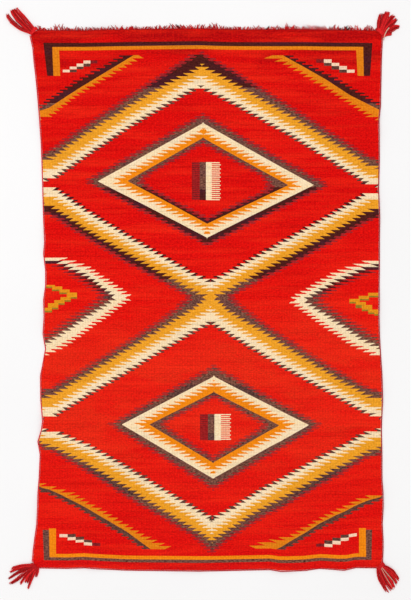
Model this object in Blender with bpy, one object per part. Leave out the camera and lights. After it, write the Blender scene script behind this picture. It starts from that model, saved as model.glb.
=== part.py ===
"""A hand-woven wool blanket with selvage cords and corner tassels, lying face up.

Units are metres. The underside lies on z = 0 with the origin under the blanket's centre.
+Y runs along the warps to the worn top end, +X runs across, and +Z is up.
Tables and sizes are written in millimetres and are turned into metres by MM.
"""

import math
import random

import bmesh
import bpy
from mathutils import Vector

MM = 0.001

# The woven cloth and the cords twined along its edges.
CLOTH_THICKNESS = 3.0
CORD_RADIUS = 2.2
CORD_SEAM = 0.4
CORD_TRIM = 5.0
EDGE_INSET = 2 * CORD_RADIUS + CORD_SEAM

# Outer contour of the long sides: height from the centre, left edge, right edge.
SIDE_SECTIONS = (
    (934, -639, 609),
    (888, -629, 607),
    (842, -625, 605),
    (792, -619, 604),
    (740, -614, 603),
    (687, -609, 602),
    (634, -605, 596),
    (563, -600, 597),
    (492, -597, 598),
    (390, -594, 595),
    (284, -591, 599),
    (203, -587, 598),
    (161, -591, 598),
    (104, -584, 598),
    (48, -584, 597),
    (-2, -591, 597),
    (-62, -589, 596),
    (-122, -593, 598),
    (-175, -584, 601),
    (-235, -595, 605),
    (-270, -602, 607),
    (-355, -601, 609),
    (-429, -594, 606),
    (-461, -598, 605),
    (-503, -611, 606),
    (-549, -603, 607),
    (-637, -607, 607),
    (-683, -611, 610),
    (-732, -612, 611),
    (-796, -615, 608),
    (-852, -623, 611),
    (-891, -628, 611),
    (-932, -631, 609),
)

# Outer contour of the two ends: distance across, worn top end, corded bottom end.
END_SECTIONS = (
    (-613, 953, -949),
    (-565, 952, -950),
    (-506, 952, -951),
    (-443, 952, -948),
    (-397, 953, -952),
    (-302, 955, -957),
    (-252, 956, -958),
    (-120, 958, -959),
    (-37, 959, -960),
    (40, 956, -959),
    (125, 955, -957),
    (210, 955, -955),
    (249, 955, -961),
    (337, 955, -958),
    (383, 954, -951),
    (471, 953, -957),
    (514, 953, -948),
    (592, 951, -949),
)
TOP_LEVEL = 955.0
BOTTOM_LEVEL = -955.0

# Slack edges that stand off the floor: edge, middle, half length, height.
RIPPLES = (
    ("left", 640, 120, 3.0),
    ("left", 215, 90, 3.5),
    ("left", -60, 100, 4.0),
    ("left", -440, 85, 7.0),
    ("left", -740, 90, 3.0),
    ("right", 600, 110, 4.5),
    ("right", 330, 120, 3.0),
    ("right", -40, 130, 4.0),
    ("right", -330, 110, 3.5),
    ("right", -700, 100, 4.0),
    ("top", -360, 110, 4.0),
    ("top", 300, 130, 4.5),
    ("bottom", -420, 80, 4.0),
    ("bottom", -80, 140, 3.0),
    ("bottom", 260, 85, 5.0),
    ("bottom", 470, 45, 3.0),
)
RIPPLE_REACH = 120.0

# Worn top end: a narrow twined strip with short frayed yarn ends.
STRIP_WIDTH = 2 * CORD_RADIUS
STRIP_HEIGHT = 2.8
TUFT_SEED = 11
TUFT_WIDTH = (2.4, 4.4)
TUFT_SPACING = (3.5, 8.0)
TUFT_LENGTH = (2.5, 7.5)
TUFT_LEAN = 0.6
# Sections of a loose end: share of its length, of its root's width and of the strip's height.
TUFT_SECTIONS = (
    (0.5, 0.8, 0.65),
    (1.0, 0.25, 0.3),
)
# Longer loose ends: distance across, length, sideways lean.
LONG_ENDS = (
    (-596, 9, 0.9),
    (-284, 13, 0.3),
    (-100, 14, -0.4),
    (97, 10, 0.9),
    (263, 24, 0.25),
    (282, 17, 0.8),
    (475, 15, -0.2),
    (540, 11, 0.4),
)

# Corner tassels: name, corner across, corner up, way the head points in degrees,
# strands, and the direction and reach of its main locks from the corner.
TASSELS = (
    ("tassel_top_left", -627.5, 941.5, 139, 9,
     ((124, 97), (129, 107), (136, 101), (144, 114), (151, 98), (158, 84))),
    ("tassel_top_right", 598.5, 940, 44, 11,
     ((80, 72), (67, 86), (52, 83), (39, 80), (23, 66), (13, 74), (3, 44))),
    ("tassel_bottom_left", -620.5, -938.5, 228, 11,
     ((186, 88), (197, 96), (208, 105), (217, 113), (233, 86), (254, 87), (277, 45))),
    ("tassel_bottom_right", 598.5, -939, 306, 9,
     ((285, 102), (291, 98), (299, 99), (307, 92), (316, 84), (326, 87))),
)
HEAD_GAP = 0.3
# The knotted head: distance from the corner, width, height.
HEAD_SECTIONS = (
    (0.0, 26.0, 4.6),
    (4.0, 26.0, 8.4),
    (10.0, 23.0, 9.0),
    (16.0, 24.0, 6.4),
)
HEAD_EDGE_SHARE = 0.55
STRAND_RINGS = 5
STRAND_WIDTH = 6.4
STRAND_FILL = 0.84
STRAND_HEIGHT = 3.8
# Width and height at a strand's tip, and how sharply both fall off towards it.
STRAND_TIP = (2.2, 1.6)
STRAND_TAPER = (2.5, 1.6)
# Share of its length that a strand runs the head's way before it turns to its own.
STRAND_LEAD = 0.3
# How far along its neighbours a strand looks for the room that it has, and in how many steps.
STRAND_LOOK = 0.3
STRAND_LOOK_STEPS = 24

WOOL_COLOURS = {
    "woven_wool": (0.70, 0.010, 0.006, 1.0),
    "plied_cord_wool": (0.30, 0.010, 0.018, 1.0),
    "frayed_wool": (0.52, 0.012, 0.012, 1.0),
    "tassel_yarn": (0.40, 0.008, 0.012, 1.0),
}
WOOL_ROUGHNESS = 0.9


def clear_scene():
    for thing in list(bpy.data.objects):
        bpy.data.objects.remove(thing)


def wool(name):
    material = bpy.data.materials.new(name)
    material.use_nodes = True
    shader = material.node_tree.nodes["Principled BSDF"]
    shader.inputs["Base Color"].default_value = WOOL_COLOURS[name]
    shader.inputs["Roughness"].default_value = WOOL_ROUGHNESS
    shader.inputs["Metallic"].default_value = 0.0
    return material


def table_value(table, column, place):
    """Reads a column of a table at a place, by straight lines between its rows."""
    rows = sorted(table)
    if place <= rows[0][0]:
        return rows[0][column]
    for low, high in zip(rows, rows[1:]):
        if place <= high[0]:
            share = (place - low[0]) / (high[0] - low[0])
            return low[column] + share * (high[column] - low[column])
    return rows[-1][column]


def left_edge(up):
    return table_value(SIDE_SECTIONS, 1, up)


def right_edge(up):
    return table_value(SIDE_SECTIONS, 2, up)


def top_edge(across):
    return table_value(END_SECTIONS, 1, across)


def bottom_edge(across):
    return table_value(END_SECTIONS, 2, across)


def lift(across, up):
    """Height of the cloth's underside over the floor, where a slack edge stands off it."""
    gaps = {
        "left": (across - left_edge(up), up),
        "right": (right_edge(up) - across, up),
        "top": (top_edge(across) - up, across),
        "bottom": (up - bottom_edge(across), across),
    }
    height = 0.0
    for edge, middle, half_length, peak in RIPPLES:
        gap, station = gaps[edge]
        along = (station - middle) / half_length
        inward = max(gap, 0.0) / RIPPLE_REACH
        if abs(along) < 1.0 and inward < 1.0:
            height += peak * math.cos(along * math.pi / 2) ** 2 * (1.0 - inward) ** 2
    return height


def corner_point(column, row):
    """The point where a tassel is tied on, for one of the grid's four corners."""
    name = "tassel_" + ("top" if row == 0 else "bottom") + ("_left" if column == 0 else "_right")
    for tassel, across, up, _, _, _ in TASSELS:
        if tassel == name:
            return across, up
    return None


def cloth_point(column, row):
    """Place of one crossing of the cloth's grid, in millimetres."""
    columns = len(END_SECTIONS) + 2
    rows = len(SIDE_SECTIONS) + 2
    if column in (0, columns - 1) and row in (0, rows - 1):
        return corner_point(column, row)
    section = SIDE_SECTIONS[min(max(row - 1, 0), rows - 3)]
    left = section[1] + EDGE_INSET
    right = section[2] - EDGE_INSET
    if column == 0:
        across = left
    elif column == columns - 1:
        across = right
    else:
        across = END_SECTIONS[column - 1][0]
        if row == 0:
            return across, top_edge(across) - EDGE_INSET
        if row == rows - 1:
            return across, bottom_edge(across) + EDGE_INSET
        widest = SIDE_SECTIONS[0]
        across = left + (across - widest[1]) / (widest[2] - widest[1]) * (right - left)
    up = section[0]
    if up > 0:
        up += (top_edge(across) - TOP_LEVEL) * (up / TOP_LEVEL) ** 2
    else:
        up += (bottom_edge(across) - BOTTOM_LEVEL) * (up / BOTTOM_LEVEL) ** 2
    return across, up


def add_object(name, data, material):
    thing = bpy.data.objects.new(name, data)
    bpy.context.scene.collection.objects.link(thing)
    data.materials.append(material)
    return thing


def finish_mesh(name, shape, material):
    """Turns a bmesh into a named object whose faces point outwards."""
    bmesh.ops.recalc_face_normals(shape, faces=shape.faces)
    mesh = bpy.data.meshes.new(name)
    shape.to_mesh(mesh)
    shape.free()
    return add_object(name, mesh, material)


def make_cloth(material):
    """The woven sheet: a grid laid to the measured outline, then given its thickness."""
    columns = len(END_SECTIONS) + 2
    rows = len(SIDE_SECTIONS) + 2
    shape = bmesh.new()
    grid = []
    for row in range(rows):
        line = []
        for column in range(columns):
            across, up = cloth_point(column, row)
            line.append(shape.verts.new(Vector((across, up, lift(across, up))) * MM))
        grid.append(line)
    for upper, lower in zip(grid, grid[1:]):
        for column in range(columns - 1):
            shape.faces.new((lower[column], lower[column + 1], upper[column + 1], upper[column]))
    mesh = bpy.data.meshes.new("woven_cloth")
    shape.to_mesh(mesh)
    shape.free()
    cloth = add_object("woven_cloth", mesh, material)
    body = cloth.modifiers.new("thickness", "SOLIDIFY")
    body.thickness = CLOTH_THICKNESS * MM
    body.offset = 1.0
    return cloth


def make_cord(name, points, material):
    """A plied cord along an edge, as a round tube with closed ends."""
    line = bpy.data.curves.new(name, "CURVE")
    line.dimensions = "3D"
    line.bevel_depth = CORD_RADIUS * MM
    line.bevel_resolution = 2
    line.use_fill_caps = True
    spline = line.splines.new("POLY")
    spline.points.add(len(points) - 1)
    for point, place in zip(spline.points, points):
        point.co = (place[0] * MM, place[1] * MM, place[2] * MM, 1.0)
    return add_object(name, line, material)


def cord_points(crossings, out_across, out_up):
    """Centre line of a cord that follows crossings of the cloth's edge, a seam away from it."""
    line = []
    for column, row in crossings:
        line.append(Vector(cloth_point(column, row)))
    for end, inner in ((0, 1), (-1, -2)):
        line[end] = line[end] + (line[inner] - line[end]).normalized() * CORD_TRIM
    reach = CORD_RADIUS + CORD_SEAM
    points = []
    for place in line:
        across = place.x + out_across * reach
        up = place.y + out_up * reach
        points.append((across, up, lift(across, up) + CORD_RADIUS))
    return points


def side_cord_points(side):
    column = 0 if side == "left" else len(END_SECTIONS) + 1
    crossings = [(column, row + 1) for row in range(len(SIDE_SECTIONS))]
    return cord_points(crossings, -1 if side == "left" else 1, 0)


def end_cord_points():
    crossings = [(column + 1, len(SIDE_SECTIONS) + 1) for column in range(len(END_SECTIONS))]
    return cord_points(crossings, 0, -1)


def quad_ring(shape, corners):
    return [shape.verts.new(Vector(corner) * MM) for corner in corners]


def join_rings(shape, first, second):
    for side in range(len(first)):
        after = (side + 1) % len(first)
        shape.faces.new((first[side], first[after], second[after], second[side]))


def tuft_plan():
    """Stations along the worn end as (start, end, length, lean); a bare stretch has length 0."""
    dice = random.Random(TUFT_SEED)
    place = END_SECTIONS[0][0] + CORD_TRIM
    last = END_SECTIONS[-1][0] - CORD_TRIM
    waiting = list(LONG_ENDS)
    plan = []
    while place < last - TUFT_SPACING[1] - TUFT_WIDTH[1]:
        bare = dice.uniform(*TUFT_SPACING)
        width = dice.uniform(*TUFT_WIDTH)
        length = dice.uniform(*TUFT_LENGTH)
        lean = dice.uniform(-TUFT_LEAN, TUFT_LEAN)
        if waiting and place + bare + TUFT_SPACING[1] > waiting[0][0]:
            _, length, lean = waiting.pop(0)
        plan.append((place, place + bare, 0.0, 0.0))
        plan.append((place + bare, place + bare + width, length, lean))
        place += bare + width
    plan.append((place, last, 0.0, 0.0))
    return plan


def strip_ring(across):
    """Section of the worn strip: inner low, outer low, outer high, inner high."""
    outer = top_edge(across)
    inner = outer - STRIP_WIDTH
    base = lift(across, outer)
    return (
        (across, inner, base),
        (across, outer, base),
        (across, outer, base + STRIP_HEIGHT),
        (across, inner, base + STRIP_HEIGHT),
    )


def grow_tuft(shape, root, start, end, length, lean):
    """Extends one outer face of the strip into a tapering yarn end that lies level."""
    middle = (start + end) / 2
    outer = top_edge(middle)
    base = lift(middle, outer)
    previous = root
    for reach, wide, high in TUFT_SECTIONS:
        centre = middle + lean * length * reach
        half = (end - start) * wide / 2
        top = base + STRIP_HEIGHT * high
        ring = quad_ring(shape, (
            (centre - half, outer + length * reach, base),
            (centre + half, outer + length * reach, base),
            (centre + half, outer + length * reach, top),
            (centre - half, outer + length * reach, top),
        ))
        join_rings(shape, previous, ring)
        previous = ring
    shape.faces.new(previous)


def make_worn_end(material):
    """The frayed top end: one strip along the edge with its loose ends grown out of it."""
    shape = bmesh.new()
    plan = tuft_plan()
    before = quad_ring(shape, strip_ring(plan[0][0]))
    shape.faces.new(before)
    for start, end, length, lean in plan:
        after = quad_ring(shape, strip_ring(end))
        for side in (0, 2, 3):
            follow = (side + 1) % 4
            shape.faces.new((before[side], before[follow], after[follow], after[side]))
        outer_face = (before[1], after[1], after[2], before[2])
        if length:
            grow_tuft(shape, outer_face, start, end, length, lean)
        else:
            shape.faces.new(outer_face)
        before = after
    shape.faces.new(before)
    return finish_mesh("worn_end_fringe", shape, material)


def head_rows(shape, corner, angle, strands):
    """The knotted head as rows of crossings, low and high, from the corner outwards."""
    diagonal = Vector((math.copysign(1, corner.x), math.copysign(1, corner.y), 0)).normalized()
    pointing = Vector((math.cos(angle), math.sin(angle), 0))
    rows = []
    for number, (out, width, height) in enumerate(HEAD_SECTIONS):
        turn = number / (len(HEAD_SECTIONS) - 1)
        forward = diagonal.lerp(pointing, turn).normalized()
        sideways = Vector((-forward.y, forward.x, 0))
        middle = corner + diagonal * HEAD_GAP + diagonal.lerp(pointing, turn / 2) * out
        low = []
        high = []
        for cell in range(strands + 1):
            share = 2 * cell / strands - 1
            place = middle + sideways * (share * width / 2)
            crown = height * (1 - (1 - HEAD_EDGE_SHARE) * share ** 2)
            low.append(shape.verts.new(place * MM))
            high.append(shape.verts.new((place + Vector((0, 0, crown))) * MM))
        rows.append((low, high))
    return rows, pointing


def lock_at(locks, share):
    """Direction in radians and reach of a strand, between the tassel's main locks."""
    place = share * (len(locks) - 1)
    low = min(int(place), len(locks) - 2)
    part = place - low
    angle = locks[low][0] + part * (locks[low + 1][0] - locks[low][0])
    reach = locks[low][1] + part * (locks[low + 1][1] - locks[low][1])
    return math.radians(angle), reach


def bend(first, second, third, share):
    """A point on the smooth bend that leaves first towards second and ends at third."""
    return first * (1 - share) ** 2 + second * 2 * share * (1 - share) + third * share ** 2


def grow_strand(shape, root, paths, number):
    """Extends one cell of the head into a flat-lying strand that ends in a blunt tip."""
    path = paths[number]
    looks = [
        STRAND_LOOK * (2 * look / STRAND_LOOK_STEPS - 1) for look in range(STRAND_LOOK_STEPS + 1)
    ]
    previous = root
    for ring_number in range(1, STRAND_RINGS + 1):
        share = ring_number / STRAND_RINGS
        here = bend(*path, share)
        step = bend(*path, share) - bend(*path, share - 0.5 / STRAND_RINGS)
        sideways = Vector((-step.y, step.x, 0)).normalized()
        room = STRAND_WIDTH
        for beside in (number - 1, number + 1):
            if 0 <= beside < len(paths):
                nearest = min(
                    (bend(*paths[beside], min(share + shift, 1.0)) - here).length
                    for shift in looks
                )
                room = min(room, nearest * STRAND_FILL)
        tip_width = min(STRAND_TIP[0], room)
        width = tip_width + (room - tip_width) * min(1.0, (1 - share) * STRAND_TAPER[0])
        fullness = min(1.0, (1 - share) * STRAND_TAPER[1])
        height = STRAND_TIP[1] + (STRAND_HEIGHT - STRAND_TIP[1]) * fullness
        low_one = here + sideways * (-width / 2)
        low_two = here + sideways * (width / 2)
        up = Vector((0, 0, height))
        ring = quad_ring(shape, (low_one, low_two, low_two + up, low_one + up))
        join_rings(shape, previous, ring)
        previous = ring
    shape.faces.new(previous)


def make_tassel(name, across, up, angle, strands, locks, material):
    """A corner tassel: its knotted head with every strand grown out of the head's end."""
    shape = bmesh.new()
    corner = Vector((across, up, 0))
    rows, pointing = head_rows(shape, corner, math.radians(angle), strands)
    for (low, high), (next_low, next_high) in zip(rows, rows[1:]):
        for cell in range(strands):
            shape.faces.new((low[cell], low[cell + 1], next_low[cell + 1], next_low[cell]))
            shape.faces.new((high[cell], high[cell + 1], next_high[cell + 1], next_high[cell]))
        for edge in (0, strands):
            shape.faces.new((low[edge], high[edge], next_high[edge], next_low[edge]))
    first_low, first_high = rows[0]
    for cell in range(strands):
        shape.faces.new((first_low[cell], first_low[cell + 1], first_high[cell + 1], first_high[cell]))
    last_low, last_high = rows[-1]
    paths = []
    for number in range(strands):
        direction, reach = lock_at(sorted(locks), (number + 0.5) / strands)
        start = (last_low[number].co + last_low[number + 1].co) / 2 / MM
        tip = corner + Vector((math.cos(direction), math.sin(direction), 0)) * reach
        middle = start + pointing * (STRAND_LEAD * (tip - start).length)
        paths.append((start, middle, tip))
    for number in range(strands):
        root = (last_low[number], last_low[number + 1], last_high[number + 1], last_high[number])
        grow_strand(shape, root, paths, number)
    return finish_mesh(name, shape, material)


def main():
    clear_scene()
    make_cloth(wool("woven_wool"))
    cord_wool = wool("plied_cord_wool")
    make_cord("left_selvage_cord", side_cord_points("left"), cord_wool)
    make_cord("right_selvage_cord", side_cord_points("right"), cord_wool)
    make_cord("bottom_end_cord", end_cord_points(), cord_wool)
    make_worn_end(wool("frayed_wool"))
    tassel_yarn = wool("tassel_yarn")
    for name, across, up, angle, strands, locks in TASSELS:
        make_tassel(name, across, up, angle, strands, locks, tassel_yarn)


main()
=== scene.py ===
# %% [markdown]
# A Navajo blanket, laid flat on a pale floor. The real one is a single piece of tapestry-woven
# wool: every colour is a yarn that goes back and forth over its own share of the warps. This
# script weaves the measured model again row by row, plies its cords and makes its tassels yarn
# by yarn, so every piece is built as the weaver built it.

# %% Load the measured model
import math
import random

import bpy
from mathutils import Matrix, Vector


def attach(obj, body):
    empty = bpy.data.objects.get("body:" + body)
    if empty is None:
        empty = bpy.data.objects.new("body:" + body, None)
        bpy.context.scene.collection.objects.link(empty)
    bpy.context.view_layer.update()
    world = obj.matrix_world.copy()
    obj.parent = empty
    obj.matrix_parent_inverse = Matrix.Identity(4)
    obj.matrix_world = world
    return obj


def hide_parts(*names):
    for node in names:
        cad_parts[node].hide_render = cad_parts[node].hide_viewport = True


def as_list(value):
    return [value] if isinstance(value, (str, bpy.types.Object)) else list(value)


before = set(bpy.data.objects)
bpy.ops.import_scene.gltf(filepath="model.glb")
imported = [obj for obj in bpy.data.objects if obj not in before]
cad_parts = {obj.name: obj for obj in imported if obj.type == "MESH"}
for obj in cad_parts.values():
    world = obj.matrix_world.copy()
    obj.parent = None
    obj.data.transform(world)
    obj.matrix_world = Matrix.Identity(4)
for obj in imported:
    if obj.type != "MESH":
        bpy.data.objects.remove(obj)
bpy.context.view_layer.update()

MM = 0.001

# %% [markdown]
# Shader sockets expect linear light, while colours are given as sRGB hex values, so one function
# turns them. Another adds a node, sets its options and joins its inputs: every material and every
# Geometry Nodes tree below is written with it.

# %% Colour and node helpers
MATH, MAP, MIX, NOISE, RAMP, VECTORS = ["ShaderNode" + kind for kind in (
    "Math", "MapRange", "Mix", "TexNoise", "ValToRGB", "VectorMath")]


def linear(code):
    """Turns an sRGB hex colour into the linear values that a shader socket takes."""
    parts = [int(code[start:start + 2], 16) / 255 for start in (0, 2, 4)]
    return (*(part / 12.92 if part <= 0.04045 else ((part + 0.055) / 1.055) ** 2.4
              for part in parts), 1.0)


def join(tree, made, inputs):
    """Joins or fills a node's inputs. A node stands for the first of its working outputs."""
    for socket, source in inputs.items():
        if isinstance(source, bpy.types.Node):
            source = next(output for output in source.outputs if output.enabled)
        if isinstance(source, bpy.types.NodeSocket):
            tree.links.new(source, made.inputs[socket])
        else:
            made.inputs[socket].default_value = source


def node(tree, kind, inputs=(), stops=(), **settings):
    """Adds one node with its inputs, its settings and a colour ramp's stops (place, colour)."""
    made = tree.nodes.new(kind)
    for name, value in settings.items():
        setattr(made, name, value)
    for number, (place, code) in enumerate(stops):
        points = made.color_ramp.elements
        point = points[number] if number < 2 else points.new(place)
        point.position, point.color = place, linear(code)
    join(tree, made, dict(inputs))
    return made


def show(name, data):
    """Puts data in the scene as an object of the same name, at the origin."""
    data.name = name
    thing = bpy.data.objects.new(name, data)
    bpy.context.scene.collection.objects.link(thing)
    return thing


print("helpers ready")

# %% [markdown]
# The photograph looks straight down on the blanket. A long lens five metres up keeps both ends
# the same size. The view transform is Standard, because the default one greys vivid reds.

# %% Camera over the blanket
CAMERA_PLACE = (-0.01765, -0.0018, 5.0)
LENS, SENSOR = 85.0, 36.0

camera_data = bpy.data.cameras.new("camera")
camera_data.lens, camera_data.sensor_width = LENS, SENSOR
camera = show("camera", camera_data)
camera.location = CAMERA_PLACE
bpy.context.scene.camera = camera
bpy.context.scene.view_settings.view_transform = "Standard"
print("camera", camera.location[:], LENS, "mm")

# %% [markdown]
# The floor is a plain sweep of warm white paper, a hair under the blanket. A very faint
# cloudiness keeps it from looking like empty background.

# %% Pale floor
FLOOR_HALF = 12.0
FLOOR_DROP = 0.2 * MM

paper = bpy.data.materials.new("warm white backdrop paper")
paper.use_nodes = True
tree = paper.node_tree
place = node(tree, "ShaderNodeTexCoord")
cloud = node(tree, NOISE, {"Vector": place.outputs["Object"], "Scale": 0.8})
tint = node(tree, RAMP, {"Fac": cloud}, ((0.3, "F5F4F4"), (0.7, "F8F7F7")))
join(tree, tree.nodes["Principled BSDF"], {
    "Base Color": tint, "Roughness": 0.9, "Specular IOR Level": 0.1})

floor_mesh = bpy.data.meshes.new("floor")
floor_mesh.from_pydata(
    [(x * FLOOR_HALF, y * FLOOR_HALF, -FLOOR_DROP)
     for x, y in ((-1, -1), (1, -1), (1, 1), (-1, 1))], [], [(0, 1, 2, 3)])
floor_mesh.materials.append(paper)
show("floor", floor_mesh)
print("floor", 2 * FLOOR_HALF, "m wide")

# %% [markdown]
# The photograph is lit evenly, with hardly a shadow. A bright sky does most of the work, and one
# wide area lamp high up on the left brings out the ribs and the cords.

# %% Soft light
SKY_STRENGTH = 0.78
LAMP_POWER = 150.0
LAMP_SIZE = 3.0
LAMP_PLACE = Vector((-1.5, 1.2, 7.0))

world = bpy.data.worlds.new("soft studio light")
bpy.context.scene.world = world
world.use_nodes = True
join(world.node_tree, world.node_tree.nodes["Background"], {
    "Color": linear("FFFFFF"), "Strength": SKY_STRENGTH})

lamp_data = bpy.data.lights.new("window light", "AREA")
lamp_data.energy, lamp_data.shape, lamp_data.size = LAMP_POWER, "SQUARE", LAMP_SIZE
lamp = show("window light", lamp_data)
lamp.location = LAMP_PLACE
lamp.rotation_euler = (-LAMP_PLACE).to_track_quat("-Z", "Y").to_euler()
print("light", SKY_STRENGTH, LAMP_POWER)

# %% [markdown]
# A hand-woven cloth is never a true rectangle: its sides draw in, its ends bow, and slack edges
# stand a little off the floor. These are the measured model's own sizes in millimetres, so the
# woven piece lies exactly where its solid lies.

# %% The cloth's outline and its slack edges
CLOTH_THICKNESS = 3.0
CORD_RADIUS = 2.2
CORD_SEAM = 0.4
EDGE_INSET = 2 * CORD_RADIUS + CORD_SEAM

# Outer contour of the sides: height from the centre, left edge, right edge.
SIDES = (
    (934, -639, 609), (888, -629, 607), (842, -625, 605), (792, -619, 604), (740, -614, 603),
    (687, -609, 602), (634, -605, 596), (563, -600, 597), (492, -597, 598), (390, -594, 595),
    (284, -591, 599), (203, -587, 598), (161, -591, 598), (104, -584, 598), (48, -584, 597),
    (-2, -591, 597), (-62, -589, 596), (-122, -593, 598), (-175, -584, 601), (-235, -595, 605),
    (-270, -602, 607), (-355, -601, 609), (-429, -594, 606), (-461, -598, 605),
    (-503, -611, 606), (-549, -603, 607), (-637, -607, 607), (-683, -611, 610),
    (-732, -612, 611), (-796, -615, 608), (-852, -623, 611), (-891, -628, 611),
    (-932, -631, 609),
)
# Outer contour of the ends: distance across, worn top end, corded bottom end.
ENDS = (
    (-613, 953, -949), (-565, 952, -950), (-506, 952, -951), (-443, 952, -948),
    (-397, 953, -952), (-302, 955, -957), (-252, 956, -958), (-120, 958, -959),
    (-37, 959, -960), (40, 956, -959), (125, 955, -957), (210, 955, -955), (249, 955, -961),
    (337, 955, -958), (383, 954, -951), (471, 953, -957), (514, 953, -948), (592, 951, -949),
)
END_LEVEL = 955.0
# Corners, where the tassels are tied on: height in rows, across, for the left and right sides.
CORNERS = {
    "left": ((END_LEVEL - EDGE_INSET, -613), (943.4, -627.5), (-944.3, -620.5),
             (EDGE_INSET - END_LEVEL, -613)),
    "right": ((END_LEVEL - EDGE_INSET, 592), (943.9, 598.5), (-944.8, 598.5),
              (EDGE_INSET - END_LEVEL, 592)),
}
# Slack edges: edge, middle, half length, height.
RIPPLES = (
    ("left", 640, 120, 3.0), ("left", 215, 90, 3.5), ("left", -60, 100, 4.0),
    ("left", -440, 85, 7.0), ("left", -740, 90, 3.0), ("right", 600, 110, 4.5),
    ("right", 330, 120, 3.0), ("right", -40, 130, 4.0), ("right", -330, 110, 3.5),
    ("right", -700, 100, 4.0), ("top", -360, 110, 4.0), ("top", 300, 130, 4.5),
    ("bottom", -420, 80, 4.0), ("bottom", -80, 140, 3.0), ("bottom", 260, 85, 5.0),
    ("bottom", 470, 45, 3.0),
)
RIPPLE_REACH = 120.0


def read(rows, column, place):
    """Reads a column of a table at a place, by straight lines between its rows."""
    rows = sorted(rows)
    for low, high in zip(rows, rows[1:]):
        if place <= high[0]:
            break
    share = max(0.0, min(1.0, (place - low[0]) / (high[0] - low[0])))
    return low[column] + share * (high[column] - low[column])


def lift(across, up):
    """Height of the cloth's underside over the floor, where a slack edge stands off it."""
    gaps = {
        "left": (across - read(SIDES, 1, up), up),
        "right": (read(SIDES, 2, up) - across, up),
        "top": (read(ENDS, 1, across) - up, across),
        "bottom": (up - read(ENDS, 2, across), across),
    }
    height = 0.0
    for edge, middle, half_length, peak in RIPPLES:
        gap, station = gaps[edge]
        along = (station - middle) / half_length
        inward = max(gap, 0.0) / RIPPLE_REACH
        if abs(along) < 1.0 and inward < 1.0:
            height += peak * math.cos(along * math.pi / 2) ** 2 * (1.0 - inward) ** 2
    return height


def bow(across, up):
    """How far the two ends' bow carries a place of the cloth up or down."""
    end = read(ENDS, 1, across) - END_LEVEL if up > 0 else read(ENDS, 2, across) + END_LEVEL
    return end * (up / END_LEVEL) ** 2


SELVAGE = {}
for side, column, inset in (("left", 1, EDGE_INSET), ("right", 2, -EDGE_INSET)):
    SELVAGE[side] = sorted([(row[0], row[column] + inset) for row in SIDES] + list(CORNERS[side]))
print("outline", len(SIDES), "side sections,", len(ENDS), "end sections")

# %% [markdown]
# Weaving goes row by row. Six picks make one course, and every stepped edge of the design moves
# on by one course at a time. Rows are numbered from the middle crossing. They bow with the two
# ends, because each pick was beaten down on the one before it.

# %% Rows, courses and their bow
PICK = 1.8
PICKS_A_COURSE = 6
HALF = PICKS_A_COURSE // 2
CROSSING_UP = 7.8
ROW_WAVE = 1.3
TOP_UP = END_LEVEL - EDGE_INSET


def pick_up(number):
    """Height of a pick line in rows, kept inside the cloth's two ends."""
    return max(-TOP_UP, min(TOP_UP, CROSSING_UP + number * PICK))


def nearest_pick(up):
    return round((up - CROSSING_UP) / PICK)


def lay_point(across, up):
    """Place on the floor, in millimetres, of a point of the woven rows."""
    wave = math.sin(across / 171 + up / 230) + math.sin(across / 97 - up / 121)
    calm = (1 - (up / END_LEVEL) ** 2) * ROW_WAVE / 2
    real_up = up + bow(across, up) + wave * calm
    return across, real_up, lift(across, real_up)


FIRST_PICK = math.floor((-TOP_UP - CROSSING_UP) / PICK)
LAST_PICK = math.ceil((TOP_UP - CROSSING_UP) / PICK)
print("picks", FIRST_PICK, LAST_PICK)

# %% [markdown]
# The design is a traditional one: two great serrate diamonds that meet in the middle, a smaller
# one inside each, half chevrons at the sides, barred frames and stepped corners. Each colour
# edge is a short table of its turning points, and how it leans: with lean 1 it is serrate, its
# teeth sloping back against its own run, and with lean -1 it runs smooth.

# %% The colour edges of the design
SMOOTH, SOFT, PLAIN, SERRATE = -1.0, -0.6, 0.0, 1.0
OUTSIDE = 700.0
# How far the two halves of a course reach past each other. Along a fuzzy edge a narrow strip
# is hatched as well, pick by pick, in both yarns.
CLEAN, FEATHERED, FUZZY = 0.0, 4.0, 6.0

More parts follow.
